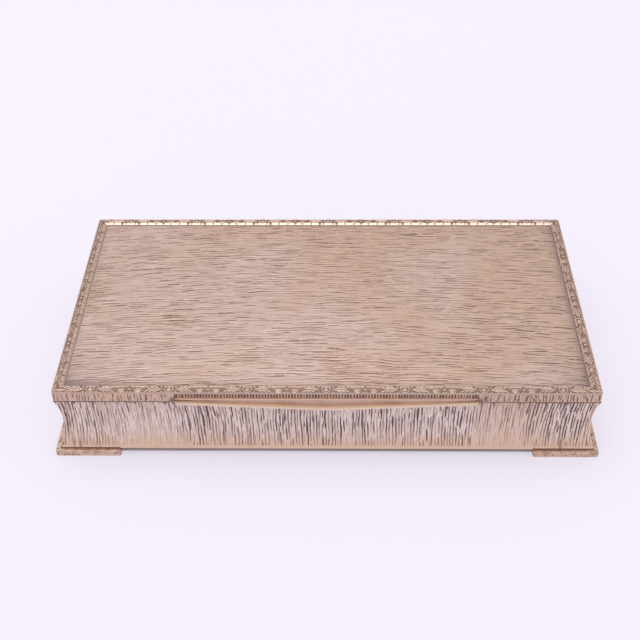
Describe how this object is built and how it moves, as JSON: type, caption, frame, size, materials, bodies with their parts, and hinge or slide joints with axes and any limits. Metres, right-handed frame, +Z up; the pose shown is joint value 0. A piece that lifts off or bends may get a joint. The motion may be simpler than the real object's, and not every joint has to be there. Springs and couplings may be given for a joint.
{
  "type": "cigarette box",
  "caption": "Flat rectangular table box in bark-textured bronze, with concave walls, corner plate feet, an ornamented lid border, a thumb bay and a wood-lined inside under a hinged lid.",
  "frame": {"origin": "centre of the footprint, on the surface that the feet stand on", "axes": "+X along the length to the right, -Y towards the thumb bay at the front, +Z up"},
  "size_m": [0.2064, 0.1176, 0.0312],
  "materials": {
    "bronze_bark_walls": "bark-chased bronze with dark patina in the grooves and silvery worn ridges",
    "bronze_bark_lid": "bark-chased bronze, fine grooves along the length",
    "bronze_border": "stamped bronze moulding, worn bright on its high points",
    "bronze_plain": "plain satin bronze",
    "cedar_lining": "planed unvarnished cedar"
  },
  "bodies": {
    "case": {"front_panel": "bronze_bark_walls", "right_panel": "bronze_bark_walls", "back_panel": "bronze_bark_walls", "left_panel": "bronze_bark_walls", "base_plate": "bronze_plain", "foot_front_left": "bronze_plain", "foot_front_right": "bronze_plain", "foot_back_left": "bronze_plain", "foot_back_right": "bronze_plain", "bezel_front": "bronze_plain", "bezel_right": "bronze_plain", "bezel_back": "bronze_plain", "bezel_left": "bronze_plain", "liner_floor": "cedar_lining", "liner_front": "cedar_lining", "liner_back": "cedar_lining", "liner_left": "cedar_lining", "liner_right": "cedar_lining", "liner_divider": "cedar_lining", "case_hinge_knuckles": "bronze_plain", "hinge_pin": "bronze_plain"},
    "lid": {"lid_panel": "bronze_bark_lid", "lid_skirt_front": "bronze_bark_walls", "lid_skirt_right": "bronze_bark_walls", "lid_skirt_back": "bronze_bark_walls", "lid_skirt_left": "bronze_bark_walls", "border_front": "bronze_border", "border_right": "bronze_border", "border_back": "bronze_border", "border_left": "bronze_border", "lid_liner": "cedar_lining", "lid_hinge_knuckles": "bronze_plain"}
  },
  "joints": [
    {"name": "lid_hinge", "type": "hinge", "parent": "case", "child": "lid", "pos_m": [0, 0.0559, 0.0265], "axis": [-1, 0, 0], "range_deg": [0, 105]}
  ]
}
